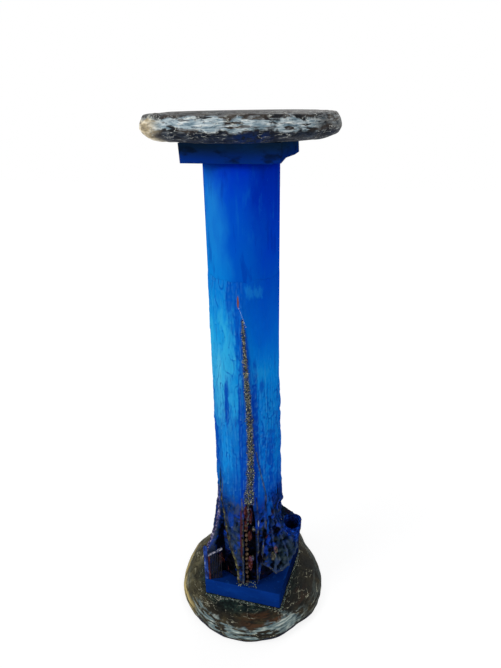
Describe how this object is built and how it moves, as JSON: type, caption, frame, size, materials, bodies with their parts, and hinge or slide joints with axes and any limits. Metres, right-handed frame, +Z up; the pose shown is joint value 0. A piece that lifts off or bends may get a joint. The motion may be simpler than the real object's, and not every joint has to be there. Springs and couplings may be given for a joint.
{
  "type": "decorative display column",
  "caption": "Free-standing display column: round slabs and square blocks at both ends of a round shaft, with a moulded relief of ribs, niche and hanging cup at its foot.",
  "frame": {"origin": "on the shaft's axis, on the underside of the base slab", "axes": "+Z up along the shaft, -Y towards the side with the niche, +X towards the hanging cup"},
  "size_m": [0.311, 0.3137, 0.974],
  "materials": {
    "disc_finish": "dark brown paint with silver-blue and gold edges",
    "block_paint": "mottled navy paint",
    "shaft_paint": "glossy ultramarine to azure paint",
    "relief_paint": "moulded compound, blue paint with tan and lavender crests",
    "grille_paint": "painted, with a pale lintel and red-brown post",
    "bead_finish": "tan beads"
  },
  "bodies": {
    "root": {"base_disc": "disc_finish", "plinth": "block_paint", "shaft": "shaft_paint", "relief": "relief_paint", "porch_grille": "grille_paint", "bead_string": "bead_finish", "capital_block": "block_paint", "top_disc": "disc_finish"}
  },
  "joints": []
}
